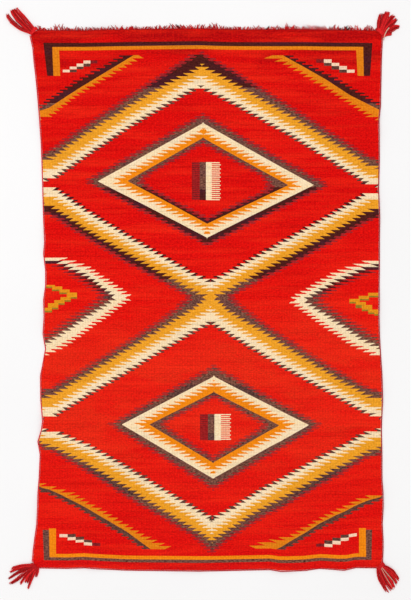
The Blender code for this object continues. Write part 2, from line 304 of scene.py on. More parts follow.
# The eight arms of the great diamonds, from the selvage to the diamond's point: distance
# across, then the heights of the dark, gold, cream and red edges.
ARMS = {
    "upper top left": (
        (-592, 514, 492, 456, 422), (-556, 531, 501, 458, 430), (-430, 619, 592, 546, 518),
        (-300, 705, 673, 634, 605), (-170, 790, 750, 710, 681), (-60, 857, 804, 775, 743)),
    "upper top right": (
        (598, 490, 465, 430, 402), (556, 503, 475, 437, 410), (430, 583, 557, 517, 492),
        (300, 667, 637, 601, 574), (170, 748, 711, 674, 646), (60, 817, 774, 736, 706)),
    "upper bottom left": (
        (-592, 310, 337, 369, 400), (-556, 298, 327, 367, 396), (-430, 217, 244, 278, 306),
        (-300, 135, 166, 198, 226), (-170, 67, 93, 124, 150), (-60, None, 31, 63, 88)),
    "upper bottom right": (
        (598, 292, 320, 352, 380), (556, 281, 314, 350, 377), (430, 206, 239, 276, 299),
        (300, 133, 164, 200, 225), (170, 65, 93, 128, 153), (60, None, 32, 68, 90)),
    "lower top left": (
        (-592, -320, -349, -386, -417), (-556, -313, -339, -383, -411),
        (-430, -236, -262, -301, -331), (-300, -155, -180, -220, -253),
        (-170, -72, -99, -139, -174), (-60, None, -31, -73, -109)),
    "lower top right": (
        (604, -328, -353, -388, -417), (556, -317, -342, -378, -403),
        (430, -245, -270, -307, -330), (300, -161, -187, -229, -257),
        (170, -77, -106, -148, -182), (60, None, -39, -79, -113)),
    "lower bottom left": (
        (-592, -527, -512, -484, -462), (-556, -534, -519, -486, -464),
        (-430, -610, -584, -544, -520), (-300, -690, -659, -619, -592),
        (-170, -764, -738, -698, -670), (-60, -829, -805, -765, -734)),
    "lower bottom right": (
        (604, -547, -524, -486, -461), (556, -555, -538, -496, -473),
        (430, -630, -601, -560, -539), (300, -701, -672, -633, -607),
        (170, -772, -742, -709, -680), (60, -841, -812, -778, -747)),
}
ARM_COLUMNS = {"dark": 1, "gold": 2, "cream": 3, "red": 4}
# The great diamonds' points, top and bottom, and the tips on both sides of the crossing.
TOP_POINT = {"dark": (865, -33), "gold": (824, -33), "cream": (784, -31), "red": (749, -31)}
LOW_POINT = {"dark": (-884, 5), "gold": (-846, 5), "cream": (-814, 5), "red": (-772, 5)}
CROSSING_TIPS = {"dark": (9, -71, 64), "gold": (8, -12, 12)}
CROSSING_POINTS = {"upper": {"cream": (35, 0), "red": (62, 0)},
                   "lower": {"cream": (-35, 0), "red": (-78, 0)}}
OUTLINE_WIDTH = 15.0
# Small diamonds, outermost ring first: a ring's yarn, lean and hatching, and for each diamond
# its points (height, across) down the left and down the right side.
RINGS = (("dark", SOFT, FUZZY), ("cream", SMOOTH, CLEAN), ("orange", SERRATE, FEATHERED),
         ("dark", SMOOTH, CLEAN), ("red", SOFT, FUZZY))
SMALL = {
    "upper": (
        (((648, -26), (418, -435), (193, -12)), ((648, -26), (404, 408), (193, -12))),
        (((617, -32), (418, -398), (218, -12)), ((617, -20), (404, 365), (218, -12))),
        (((594, -26), (418, -341), (245, -12)), ((594, -26), (404, 314), (245, -12))),
        (((568, -26), (418, -293), (267, -12)), ((568, -26), (404, 275), (267, -12))),
        (((552, -26), (445, -215), (418, -249), (391, -215), (284, -12)),
         ((552, -26), (436, 188), (404, 212), (378, 188), (284, -12)))),
    "lower": (
        (((-237, 12), (-441, -350), (-661, 9)), ((-237, 12), (-443, 384), (-661, 9))),
        (((-271, 12), (-441, -313), (-629, 9)), ((-271, 12), (-443, 348), (-629, 9))),
        (((-293, 12), (-441, -260), (-602, 9)), ((-293, 12), (-443, 292), (-602, 9))),
        (((-326, 12), (-441, -216), (-573, 9)), ((-326, 12), (-443, 243), (-573, 9))),
        (((-341, 12), (-424, -150), (-441, -170), (-458, -150), (-557, 9)),
         ((-341, 12), (-424, 170), (-443, 196), (-461, 170), (-557, 9)))),
}
# Side chevrons, outermost edge first: yarn, hatching, then (height, across) down the edge.
CHEVRONS = {
    "left": (
        ("cream", FEATHERED, ((154, -588), (149, -538), (113, -435), (9, -284), (-146, -492),
            (-184, -560), (-200, -610))),
        ("dark", CLEAN, ((140, -588), (134, -538), (84, -435), (7, -331), (-142, -555),
            (-162, -588))),
        ("red", FUZZY, ((130, -588), (122, -538), (60, -435), (9, -372), (-124, -564),
            (-138, -588))),
    ),
    "right": (
        ("cream", FEATHERED, ((139, 596), (132, 550), (92, 440), (-4, 282), (-158, 500),
            (-194, 575), (-200, 630))),
        ("dark", CLEAN, ((125, 596), (116, 550), (66, 440), (-4, 327), (-150, 550), (-172, 596))),
        ("red", FUZZY, ((104, 596), (98, 550), (46, 440), (-4, 373), (-132, 570), (-145, 596))),
    ),
}
# Corner diagonals: yarn, lean, hatching, then (height, across) up the outer edge.
DIAGONALS = {
    "top left": ((632, 860), (
        ("dark", PLAIN, FUZZY, ((682, -600), (707, -570), (778, -460), (857, -316))),
        ("copper", SMOOTH, CLEAN, ((667, -607), (674, -575), (749, -460), (818, -344),
            (856, -280))),
        ("red", SERRATE, CLEAN, ((640, -605), (648, -567), (696, -509), (733, -457),
            (766, -401), (797, -344), (860, -240))))),
    "top right": ((632, 860), (
        ("red", PLAIN, FUZZY, ((691, 597), (700, 579), (777, 451), (856, 284))),
        ("dark", SMOOTH, CLEAN, ((670, 597), (721, 494), (777, 408), (857, 263))),
        ("copper", SERRATE, CLEAN, ((638, 592), (652, 558), (749, 408), (840, 254),
            (855, 207))))),
    "bottom left": ((-878, -650), (
        ("copper", SERRATE, CLEAN, ((-653, -607), (-670, -542), (-694, -480), (-838, -225),
            (-868, -161))),
        ("dark", SMOOTH, CLEAN, ((-665, -609), (-670, -575), (-694, -521), (-817, -296),
            (-879, -210))),
        ("red", SOFT, FUZZY, ((-676, -609), (-684, -575), (-711, -521), (-838, -296),
            (-877, -235))))),
    "bottom right": ((-880, -688), (
        ("red", SERRATE, CLEAN, ((-689, 605), (-704, 537), (-743, 451), (-833, 280), (-863, 177))),
        ("copper", SMOOTH, CLEAN, ((-698, 605), (-711, 558), (-756, 451), (-850, 280),
            (-875, 237))),
        ("dark", SOFT, FUZZY, ((-707, 605), (-734, 537), (-777, 451), (-867, 280), (-882, 245))))),
}
print("edges", len(ARMS), len(SMALL), len(CHEVRONS), len(DIAGONALS))

# %% [markdown]
# The plain shapes are bars, uprights and blocks, written as boxes in rows: low and high row,
# then left and right. So the long bars bow with the cloth, as woven bars do.

# %% Bars, frames, stepped blocks and combs
# Yarn, low row, high row, then the left and right edge across at the low and the high row.
FRAMES = (
    ("dark", 893.5, 908.0, (-588, -590), (570, 571)),
    ("copper", 881.0, 893.5, (-558, -558), (539, 539)),
    ("dark", 790.0, 893.5, (-576, -588), (-554, -558)),
    ("copper", 790.0, 881.0, (-554, -558), (-530, -534)),
    ("copper", 790.0, 881.0, (519, 514), (541, 539)),
    ("dark", 790.0, 893.5, (541, 539), (563, 570)),
    ("dark", -925.5, -914.5, (-588, -588), (568, 568)),
    ("orange", -914.5, -901.5, (-568, -568), (549, 549)),
    ("dark", -914.5, -816.0, (-588, -592), (-568, -570)),
    ("orange", -901.5, -812.0, (-568, -570), (-545, -545)),
    ("orange", -901.5, -812.0, (524, 524), (549, 548)),
    ("dark", -914.5, -816.0, (549, 548), (568, 570)),
    # Four slips of the weaver's hand inside the small diamonds.
    ("orange", 590.0, 598.0, (-40, -34), (-12, -16)), ("orange", 231.0, 240.0, (-24, -20), (0, -4)),
    ("orange", -612.0, -604.0, (-2, 2), (18, 14)), ("umber", -777.0, -770.0, (-5, -3), (15, 13)),
)
# Stepped blocks: first row, rise and width of a step, first edge across, and which way the
# steps run.
BLOCKS = (
    (803, 10.3, 24.4, -521, 1), (801, 11.8, 27.0, 508, -1),
    (-831, -10.4, 28.8, -533, 1), (-829, -11.3, 28.6, 516, -1),
)
BLOCK_STEPS = 4
# Combs: low and high row, the edges across of the hatching, bar, cream and teeth, and the
# yarns of the bar with the height where they meet.
COMBS = (
    (349, 485, (-66, -38, -16, 4, 36), ("grey", "purple", 386)),
    (-494, -401, (-37, -9, 14, 37, 72), ("grey", "plum", -470)),
)
COMB_PICKS = 2
# Little stepped chevrons at the sides: way towards the selvage, tip across and up, how far a
# step moves in the upper and in the lower arm, and the arms' top and foot.
LITTLE_CHEVRONS = ((-1, -471, 16, 26, 22, 51, -42), (1, 490, -3, 33, 22, 25, -53))
STEP_WIDTH, STEP_PICKS = 36.0, 7
# Which dark wool was on the bobbin: from this height down, for each motif.
DARK_WOOL = {
    "great": ((955, "purple"), (748, "grey"), (335, "purple"), (70, "grey"), (-590, "plum"),
              (-690, "grey")),
    "outline": ((955, "umber"), (410, "purple"), (-60, "umber")),
    "upper": ((955, "grey"), (395, "purple")),
    "lower": ((955, "grey"), (-300, "plum"), (-345, "grey")),
    "side": ((955, "purple"), (30, "plum"), (5, "grey")),
    "corner": ((955, "purple"), (694, "grey"), (600, "umber")),
    "frame": ((955, "purple"), (0, "grey")),
}


def bobbin(yarn, motif, up):
    """The wool on the bobbin: a dark one is chosen by the motif and the height."""
    if yarn == "dark":
        yarn = [dark for start, dark in DARK_WOOL[motif] if up <= start][-1]
    return yarn


print("shapes", len(FRAMES), len(BLOCKS) * BLOCK_STEPS * 2, len(COMBS))

# %% [markdown]
# Now the rules that turn an edge table into teeth. Inside a course the edge is a straight stroke
# through the course's middle. Where its lean is 1 the stroke mirrors the edge's own slope, so a
# course ends in a long thin point, and the next one starts a step further on. A little seeded
# unevenness makes it a hand's work.

# %% From edge tables to teeth
TEETH_SEED = 5
UNEVEN_ACROSS = 1.6
UNEVEN_LEAN = 0.10
UNEVEN_REACH = (0.55, 1.3)
# A tooth's stroke leans no further than this, where an edge runs nearly along a row.
STEEPEST = 2.6
dice = random.Random(TEETH_SEED)


def run_at(points, up):
    """Mean place and slope of an edge at a height, carried on straight past its ends."""
    for low, high in zip(points, points[1:]):
        if up <= high[0]:
            break
    slope = (high[1] - low[1]) / max(high[0] - low[0], 0.1)
    return low[1] + slope * (up - low[0]), slope


def make_edge(points, lean, hatch=CLEAN, shift=0.0):
    """An edge of the design: its line from the lowest point up, and each course's unevenness."""
    uneven = {course: (dice.gauss(0, UNEVEN_ACROSS), dice.gauss(0, UNEVEN_LEAN),
                       dice.uniform(*UNEVEN_REACH), dice.uniform(*UNEVEN_REACH))
              for course in range(FIRST_PICK // PICKS_A_COURSE - 1,
                                  LAST_PICK // PICKS_A_COURSE + 2)}
    return [(up, across + shift) for up, across in sorted(points)], lean, hatch, uneven


def edge_across(edge, course, low, high):
    """Where an edge crosses a row of the cloth: across at the row's low and high line."""
    line, lean, hatch, uneven = edge
    if lean == SMOOTH:
        return run_at(line, low)[0], run_at(line, high)[0]
    middle = CROSSING_UP + (course + 0.5) * PICKS_A_COURSE * PICK
    across, slope = run_at(line, middle)
    slope = max(-STEEPEST, min(STEEPEST, slope))
    shift, more, lower, upper = uneven[course]
    reach = -upper if (low + high) / 2 > middle else lower
    across += shift + math.copysign(hatch * reach, slope * reach)
    return [across - (lean + more) * slope * (up - middle) for up in (low, high)]


def side_of(diamond, side, yarn):
    """One side of a great diamond: down its top arm, out past the selvage, and to its foot."""
    column = ARM_COLUMNS[yarn]
    top, low = [[(row[column], row[0]) for row in ARMS[f"{diamond} {end} {side}"]
                 if row[column] is not None] for end in ("top", "bottom")]
    beyond = OUTSIDE if side == "right" else -OUTSIDE
    return top + [((top[0][0] + low[0][0]) / 2, beyond)] + low


HATCH_STRIP = 20.0
MARGIN = 20.0
LAYERS = []


def lay(motif, yarn, left, right, lean, hatch=CLEAN, inward=0.0, limits=None):
    """Adds a layer of the design. A fuzzy edge is laid with a hatched strip along it."""
    shift = HATCH_STRIP / 2 if hatch == FUZZY else 0.0
    passes = (("hatched", inward - shift), (yarn, inward + shift))
    for which, move in passes if shift else ((yarn, inward),):
        LAYERS.append((motif, which, left and make_edge(left, lean, hatch, move),
                       right and make_edge(right, lean, hatch, -move), limits))


for yarn, lean, hatch in (("dark", SOFT, FUZZY), ("gold", SERRATE, CLEAN)):
    crossing, *tips = CROSSING_TIPS[yarn]
    lay("great", yarn, *(
        [TOP_POINT[yarn], LOW_POINT[yarn], (crossing, tip)]
        + side_of("upper", side, yarn) + side_of("lower", side, yarn)
        for side, tip in zip(("left", "right"), tips)), lean, hatch)
for diamond, ends in (("upper", TOP_POINT), ("lower", LOW_POINT)):
    closed = {}
    for yarn in ("cream", "red"):
        points = [ends[yarn], CROSSING_POINTS[diamond][yarn]]
        closed[yarn] = [points + side_of(diamond, side, yarn) for side in ("left", "right")]
    heights = [up for up, _ in closed["cream"][0]]
    limits = (min(heights) - MARGIN, max(heights) + MARGIN)
    lay("great", "cream", *closed["cream"], SERRATE, FEATHERED, limits=limits)
    lay("outline", "dark", *closed["red"], SERRATE, limits=limits)
    lay("great", "red", *closed["red"], PLAIN, FEATHERED, OUTLINE_WIDTH, limits)
for name, sides in SMALL.items():
    for (yarn, lean, hatch), (left, right) in zip(RINGS, sides):
        lay(name, yarn, left, right, lean, hatch,
            limits=(left[-1][0] - MARGIN, left[0][0] + MARGIN))
for side, rings in CHEVRONS.items():
    for yarn, hatch, points in rings:
        ends = (None, points) if side == "left" else (points, None)
        lay("side", yarn, *ends, SERRATE, hatch, limits=(points[-1][0] - 12, points[0][0] + 2))
print("layers", len(LAYERS))

# %% [markdown]
# A row of the cloth is a list of runs, each of one yarn. Colours are laid on like paint, the
# outermost first: a new run cuts off whatever it covers. So the great diamond's dark, gold,
# cream and red come to lie inside one another without any special cases.

# %% Painting one row of yarn runs
THIN = 0.6


def between(pair, low, high):
    return [max(low[i], min(high[i], pair[i])) for i in (0, 1)]


def paint(runs, left, right, yarn):
    """Lays a run of yarn over a row's runs. left and right are (low line, high line) pairs."""
    start, end = runs[0][0], runs[-1][1]
    left, right = between(left, start, end), between(right, start, end)
    for i in (0, 1):
        if right[i] < left[i]:
            left[i] = right[i] = (left[i] + right[i]) / 2
    before = [[first, between(left, first, last), old] for first, last, old in runs]
    after = [[between(right, first, last), last, old] for first, last, old in runs]
    before, own, after = [
        [run for run in part if max(run[1][0] - run[0][0], run[1][1] - run[0][1]) >= THIN]
        for part in (before, [[left, right, yarn]], after)]
    if not own:
        return runs
    row = before + own + after
    row[0][0], row[-1][1] = start, end
    for one, two in zip(row, row[1:]):
        one[1] = two[0] = [max(pair) for pair in zip(one[0], one[1])]
    return row


def row_runs(pick, next_pick):
    """The yarn runs of one row of the cloth, from its left selvage to its right one."""
    low, high = pick_up(pick), pick_up(next_pick)
    middle, course = (low + high) / 2, pick // PICKS_A_COURSE
    start, end = [[read(SELVAGE[side], 1, up) for up in (low, high)] for side in SELVAGE]
    runs = [[start, end, "red"]]
    for motif, yarn, left, right, limits in LAYERS:
        if not limits or limits[0] < middle < limits[1]:
            runs = paint(runs, edge_across(left, course, low, high) if left else start,
                         edge_across(right, course, low, high) if right else end,
                         bobbin(yarn, motif, middle))
    for left, right, yarn in plain_runs(pick, middle, course, low, high):
        runs = paint(runs, left, right, yarn)
    return runs


print("painter ready")

# %% Rules for the plain shapes
DIAGONAL_EDGES = {name: [(yarn, make_edge(points, lean, hatch))
                         for yarn, lean, hatch, points in edges]
                  for name, (_, edges) in DIAGONALS.items()}
# From each corner's three edges: which edges bound a run, and which of them names its yarn.
DIAGONAL_RUNS = {
    "top left": ((0, 1, 0), (1, 2, 1)), "top right": ((2, 1, 2), (1, 0, 1)),
    "bottom left": ((1, 0, 0), (2, 1, 1)), "bottom right": ((0, 1, 1), (1, 2, 2)),
}


def box(one, two, yarn):
    """A run with upright sides, from one place across to another."""
    return (min(one, two),) * 2, (max(one, two),) * 2, yarn


def plain_runs(pick, middle, course, low, high):
    """The runs of the plain shapes in one row, as left edge, right edge and yarn."""
    for name, (limits, _) in DIAGONALS.items():
        if limits[0] < middle < limits[1]:
            edges = [(yarn, edge_across(edge, course, low, high))
                     for yarn, edge in DIAGONAL_EDGES[name]]
            for left, right, named in DIAGONAL_RUNS[name]:
                yield edges[left][1], edges[right][1], bobbin(edges[named][0], "corner", middle)
    for yarn, bottom, top, *sides in FRAMES:
        if bottom < middle < top:
            left, right = [[foot + (up - bottom) / (top - bottom) * (head - foot)
                            for up in (low, high)] for foot, head in sides]
            yield left, right, bobbin(yarn, "frame", middle)
    for first_up, rise, width, across, way in BLOCKS:
        for step in range(BLOCK_STEPS):
            bottom, top = sorted((first_up + rise * step, first_up + rise * (step + 1)))
            if bottom < middle < top:
                dark = "madder" if step == BLOCK_STEPS - 1 else "umber"
                for block, yarn in ((step, "blush"), (step + 1, dark)):
                    one = across + way * width * block
                    yield box(one, one + way * width, yarn)
    for bottom, top, (hatch, bar, cream, teeth, tip), bars in COMBS:
        if bottom < middle < top:
            odd = (pick // COMB_PICKS) % 2
            yield box(hatch, bar, ("madder", "rust")[odd])
            yield box(bar, cream, bars[0] if middle > bars[2] else bars[1])
            yield box(cream, teeth, "cream")
            if odd:
                yield box(teeth, tip - 4 * (pick // 4 % 2), "cream")
    step = PICK * STEP_PICKS
    for way, tip, tip_up, up_run, down_run, top, foot in LITTLE_CHEVRONS:
        for drop, yarn in ((step / 2, "olive"), (0.0, "ochre")):
            if foot < middle + drop < top:
                rise = (middle + drop - tip_up) / step
                near = tip + way * (up_run if rise > 0 else down_run) * round(abs(rise))
                yield box(near, near + way * STEP_WIDTH, yarn)


# Rows start at every half course, and wherever a plain shape starts or ends.
lines = {number for number in range(FIRST_PICK, LAST_PICK + 1) if number % HALF == 0}
lines.update((FIRST_PICK, LAST_PICK))
for _, bottom, top, *_ in FRAMES:
    lines.update((nearest_pick(bottom), nearest_pick(top)))
for first_up, rise, *_ in BLOCKS:
    lines.update(nearest_pick(first_up + rise * step) for step in range(BLOCK_STEPS + 1))
for bottom, top, *_ in COMBS:
    lines.update(number for number in range(nearest_pick(bottom), nearest_pick(top) + 1)
                 if number % COMB_PICKS == 0)
LINES = sorted(lines)
ROWS = [row_runs(one, two) for one, two in zip(LINES, LINES[1:])]
print("rows", len(ROWS), "runs", sum(len(row) for row in ROWS))

# %% [markdown]
# The rows become one mesh. Both rows that meet on a line share every point on it, so the cloth
# has no splits, and each run is filled by zipping its low and high points together. The UV map
# "weave" counts warps across and picks up, which is what the yarn patterns follow.

# %% The woven mesh
GRAIN = 0.5
WARP = 3.0
YARNS = ("red", "gold", "copper", "orange", "cream", "purple", "grey", "plum", "umber",
         "olive", "ochre", "madder", "rust", "hatched", "blush")
INNER_COLUMNS = range(-540, 541, 60)
END_COLUMNS = range(-600, 601, 30)
NEAR_SIDE = (8, 18, 32, 50, 72, 96, 120)
NEAR_END = 135.0
SPACING = 6.0


def key(across):
    return round(across / GRAIN)


line_keys = [set() for _ in LINES]
for index, row in enumerate(ROWS):
    for first, last, _ in row:
        for i in (0, 1):
            line_keys[index + i].update((key(first[i]), key(last[i])))
points, weave, numbers = [], [], []
for number, keys in zip(LINES, line_keys):
    up = pick_up(number)
    low, high = min(keys), max(keys)
    extra = [key(place) for place in INNER_COLUMNS]
    for inset in NEAR_SIDE:
        extra += [low + key(inset), high - key(inset)]
    if TOP_UP - abs(up) < NEAR_END:
        extra += [key(place) for place in END_COLUMNS]
    for place in extra:
        if low < place < high and not any(abs(place - near) < key(SPACING) for near in keys):
            keys.add(place)
    numbers.append({})
    for place in sorted(keys):
        numbers[-1][place] = len(points)
        points.append(Vector(lay_point(place * GRAIN, up)) * MM)
        weave.append((place * GRAIN / WARP, up / PICK))


def area(a, b, c):
    """Twice the area of a triangle of points, below nothing where it would lie face down."""
    one, two = points[b] - points[a], points[c] - points[a]
    return one.x * two.y - one.y * two.x


faces, yarn_of = [], []
for index, row in enumerate(ROWS):
    for first, last, yarn in row:
        low, high = [[point for place, point in numbers[index + i].items()
                      if key(first[i]) <= place <= key(last[i])] for i in (0, 1)]
        while len(low) > 1 or len(high) > 1:
            go_low = len(low) > 1
            if go_low and len(high) > 1:
                # The shorter of the two possible seams, unless its triangle would lie face down.
                shorter = ((points[low[1]] - points[high[0]]).length
                           <= (points[high[1]] - points[low[0]]).length)
                go_low = area(low[0], low[1], high[0]) > 0 and (
                    shorter or area(low[0], high[1], high[0]) <= 0)
            faces.append((low[0], low[1] if go_low else high[1], high[0]))
            (low if go_low else high).pop(0)
            yarn_of.append(YARNS.index(yarn))

cloth_mesh = bpy.data.meshes.new("woven_face")
cloth_mesh.from_pydata(points, [], faces)
cloth_mesh.polygons.foreach_set("material_index", yarn_of)
weave_map = cloth_mesh.uv_layers.new(name="weave")
for loop in cloth_mesh.loops:
    weave_map.data[loop.index].uv = weave[loop.vertex_index]
print("woven face", len(points), "points", len(faces), "triangles")

# %% [markdown]
# Handspun wool is matt, a little hairy, and never one flat colour. Weft-faced cloth shows small
# beads of weft over each warp, and here groups of three warps stand as soft ribs, with painted
# shade darkening the grooves between them. One recipe makes every yarn: its main colour, a lighter
# and a darker spin of it, how strongly two fleeces were carded together, and how far its dye drifts
# from row to row.

# %% Woollen weft yarns
RIB_WARPS = 3.0
HEIGHT = 0.9 * MM

# Yarn: main colour, lighter spin, darker spin, heather share, drift share, drift colour.
WOOL = {
    "red": ("E3120E", "FC1A10", "B60208", 0.55, 0.55, "FA2C16"),
    "gold": ("F5A01E", "FFB63C", "DE860C", 0.6, 0.3, "FBB038"),
    "copper": ("EC8314", "F69A26", "D56A08", 0.4, 0.3, "DE7010"),
    "orange": ("F98A0C", "FFA024", "EE7406", 0.45, 0.2, "F57E10"),
    "cream": ("FFE2B2", "FFEFD0", "F6CC92", 0.5, 0.3, "FFE9D0"),
    "purple": ("4A1817", "682F26", "2E0C0A", 0.55, 0.4, "48203A"),
    "grey": ("6C3A30", "9A6652", "401E1A", 1.0, 0.4, "5A3440"),
    "plum": ("502C34", "80584C", "2E1618", 0.9, 0.35, "5C2E38"),
    "umber": ("62362E", "805648", "3A221C", 0.75, 0.3, "5C3230"),
    "olive": ("9A7820", "B8943A", "6E5A18", 0.5, 0.2, "8A7A26"),
    "ochre": ("EE9418", "F8A82C", "D27C0E", 0.4, 0.2, "E08818"),
    "madder": ("7E1A20", "A03030", "5C1016", 0.7, 0.2, "8A1C24"),
    "rust": ("B01A1A", "CC2A22", "8C1016", 0.5, 0.2, "B81C18"),
    "hatched": ("B01A1A", "A83A30", "7A1A1C", 0.25, 0.2, "8A2A2C"),
    "blush": ("FFDAB8", "FFEAD0", "F8BE9C", 0.5, 0.3, "FFC6AC"),
}
HATCHING_WOOL = "4E3038"
# Dye lots of the red, with painted shade at the top end: height down the cloth, and the colour
# there. The darkest stops at the top end are painted shade, as if less light fell on that end; the
# others are the weaver's dye lots.
RED_LOTS_AND_TOP_SHADE = (
    (955, "80020C"), (915, "8E020A"), (880, "B8050A"), (820, "DA080A"), (700, "E0090A"),
    (330, "E40A0B"), (170, "EC100C"), (0, "F0160C"), (-120, "F62C16"), (-230, "F83C1C"),
    (-330, "F42414"), (-430, "F83A1C"), (-560, "EE1C10"), (-760, "EE1810"), (-900, "E40E0C"),
    (-955, "D81014"),
)
# How far the lots wander, as a share of the blanket's length.
LOT_WANDER = 0.07


def cloudy(tree, place, scale, detail, roughness, *span):
    """Noise stretched by a scale. A span (from, from, to, to) turns its values into others."""
    stretch = node(tree, "ShaderNodeMapping", {"Vector": place, "Scale": (*scale, 1.0)})
    noise = node(tree, NOISE, {
        "Vector": stretch, "Scale": 1.0, "Detail": detail, "Roughness": roughness})
    if not span:
        return noise
    ends = zip(("From Min", "From Max", "To Min", "To Max"), span)
    return node(tree, MAP, {"Value": noise, **dict(ends)})


def wool(name, colours, along, bumps, lots_and_shade=(), crossed=None):
    """Woollen yarn. along gives the pattern's coordinates, bumps its height and its shade.

    A table of colours by height dyes it: dye lots, and for the red also painted shade at its top
    end. crossed is a second yarn that takes every other pick."""
    main, light, dark, heather, drift, other = colours
    material = bpy.data.materials.new(name)
    material.use_nodes = True
    tree = material.node_tree
    place = along(tree)
    own = linear(main)
    if lots_and_shade:
        spot = node(tree, "ShaderNodeTexCoord")
        axes = node(tree, "ShaderNodeSeparateXYZ", {0: spot.outputs["Object"]})
        first, last = lots_and_shade[0][0], lots_and_shade[-1][0]
        down = node(tree, MAP, {
            "Value": axes.outputs["Y"], "From Min": first * MM, "From Max": last * MM})
        # The lots end at other heights here and there, because parts were woven in turn; the
        # painted shade at the top end wanders with them.
        wander = cloudy(tree, place, (0.012, 0.02), 3.0, 0.6, 0.3, 0.7, -LOT_WANDER, LOT_WANDER)
        where = node(tree, MATH, {0: down, 1: wander}, operation="ADD")
        # The ramp makes the red darker towards the top end as painted shade, over its dye lots.
        own = node(tree, RAMP, {"Fac": where},
                   [((first - up) / (first - last), colour) for up, colour in lots_and_shade])
    if crossed:
        counted = node(tree, "ShaderNodeSeparateXYZ", {0: place})
        half = node(tree, MATH, {0: counted.outputs["Y"], 1: 0.5}, operation="MULTIPLY")
        part = node(tree, MATH, {0: half}, operation="FRACT")
        odd = node(tree, MATH, {0: part, 1: 0.5}, operation="GREATER_THAN")
        own = node(tree, MIX, {0: odd, 6: own, 7: linear(crossed)}, data_type="RGBA")
    fleck = cloudy(tree, place, (0.33, 0.5), 2.0, 0.7)
    flecks = node(tree, RAMP, {"Fac": fleck}, ((0.36, dark), (0.64, light)))
    carded = node(tree, MIX, {0: heather, 6: own, 7: flecks}, data_type="RGBA")
    bands = cloudy(tree, place, (0.008, 0.05), 4.0, 0.65, 0.46, 0.66, 0.0, drift)
    dyed = node(tree, MIX, {0: bands, 6: carded, 7: linear(other)}, data_type="RGBA")
    height, shade = bumps(tree, place)
    # The shade multiplied into the colour holds the yarn's mottle, streaks and tone, and for the
    # weft also painted shade in the rib grooves.
    worn = node(tree, MIX, {0: 1.0, 6: dyed, 7: shade}, data_type="RGBA",
                blend_type="MULTIPLY")
    bump = node(tree, "ShaderNodeBump", {"Strength": 0.7, "Distance": HEIGHT, "Height": height})
    join(tree, tree.nodes["Principled BSDF"], {
        "Base Color": worn, "Normal": bump, "Roughness": 0.92, "Specular IOR Level": 0.03,
        "Sheen Weight": 0.01, "Sheen Roughness": 0.5})
    return material


def humps(tree, value, factor, shift=0.0):
    """Even rounded humps: the size of a sine, of factor times the value plus a shift."""
    angle = node(tree, MATH, {0: value, 1: factor, 2: shift}, operation="MULTIPLY_ADD")
    wave = node(tree, MATH, {0: angle}, operation="SINE")
    return node(tree, MATH, {0: wave}, operation="ABSOLUTE")


def along_weave(tree):
    return node(tree, "ShaderNodeUVMap", uv_map="weave")


def weave_bumps(tree, place):
    """Beads of weft over each warp, shifted on every other pick, over soft ribs, and painted shade
    that darkens the grooves between the ribs.
    """
    axes = node(tree, "ShaderNodeSeparateXYZ", {0: place}).outputs
    pick = node(tree, MATH, {0: axes["Y"]}, operation="FLOOR")
    odd = node(tree, MATH, {0: pick, 1: math.pi / 2}, operation="MULTIPLY")
    across, along = humps(tree, axes["X"], math.pi, odd), humps(tree, axes["Y"], math.pi)
    bead = node(tree, MATH, {0: across, 1: along}, operation="MULTIPLY")
    rib = humps(tree, axes["X"], math.pi / RIB_WARPS)
    height = node(tree, MATH, {0: rib, 1: 0.4, 2: bead}, operation="MULTIPLY_ADD")
    # Painted shade: the colour is darkened in the grooves between the ribs, where shade would fall.
    groove_shade = node(tree, MAP, {"Value": rib, "From Max": 0.8, "To Min": 0.92, "To Max": 1.03})
    mottle = cloudy(tree, place, (0.42, 0.3), 3.0, 0.6, 0.3, 0.7, 0.87, 1.13)
    streaks = cloudy(tree, place, (0.016, 0.3), 2.0, 0.6, 0.3, 0.5, 0.85, 1.04)
    spun = node(tree, MATH, {0: mottle, 1: streaks}, operation="MULTIPLY")
    return height, node(tree, MATH, {0: groove_shade, 1: spun}, operation="MULTIPLY")


for yarn in YARNS:
    cloth_mesh.materials.append(
        wool(f"{yarn} handspun weft wool", WOOL[yarn], along_weave, weave_bumps,
             RED_LOTS_AND_TOP_SHADE if yarn in ("red", "hatched") else (),
             HATCHING_WOOL if yarn == "hatched" else None))
print("yarns", len(YARNS))

# %% [markdown]
# The cloth gets its thickness from Solidify, which carries the same yarns through to the back:
# tapestry weaving shows the same design on both faces. Every finished piece is handed over with
# the solid that it stands for.

# %% Thickness of the cloth
DRESSED = []


def plain(thing):
    """Turns an object with modifiers into a plain mesh object of the same name."""
    graph = bpy.context.evaluated_depsgraph_get()
    mesh = bpy.data.meshes.new_from_object(thing.evaluated_get(graph))
    thing.modifiers.clear()
    thing.data = mesh
    mesh.name = thing.name
    return thing


def hand_over(piece, solid):
    """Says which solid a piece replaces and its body."""
    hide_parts(solid)
    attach(piece, "root")
    DRESSED.append(piece)
    print(piece.name, len(piece.data.polygons), "faces")


cloth = show("woven_wool_cloth", cloth_mesh)
body = cloth.modifiers.new("thickness", "SOLIDIFY")
body.thickness, body.offset = CLOTH_THICKNESS * MM, 1.0
hand_over(plain(cloth), "woven_cloth")

# %% [markdown]
# A plied cord is two strands of spun yarn that wind round each other. Geometry Nodes suits it:
# the path goes in as a line of points, each ply is that line moved out from its middle by a
# turning amount, and a small ring is swept along it. The same tree makes every yarn of the
# tassels, because point attributes say how thick the yarn is and how far it has turned.

# %% A Geometry Nodes tree for plied yarn
PLIES = 2


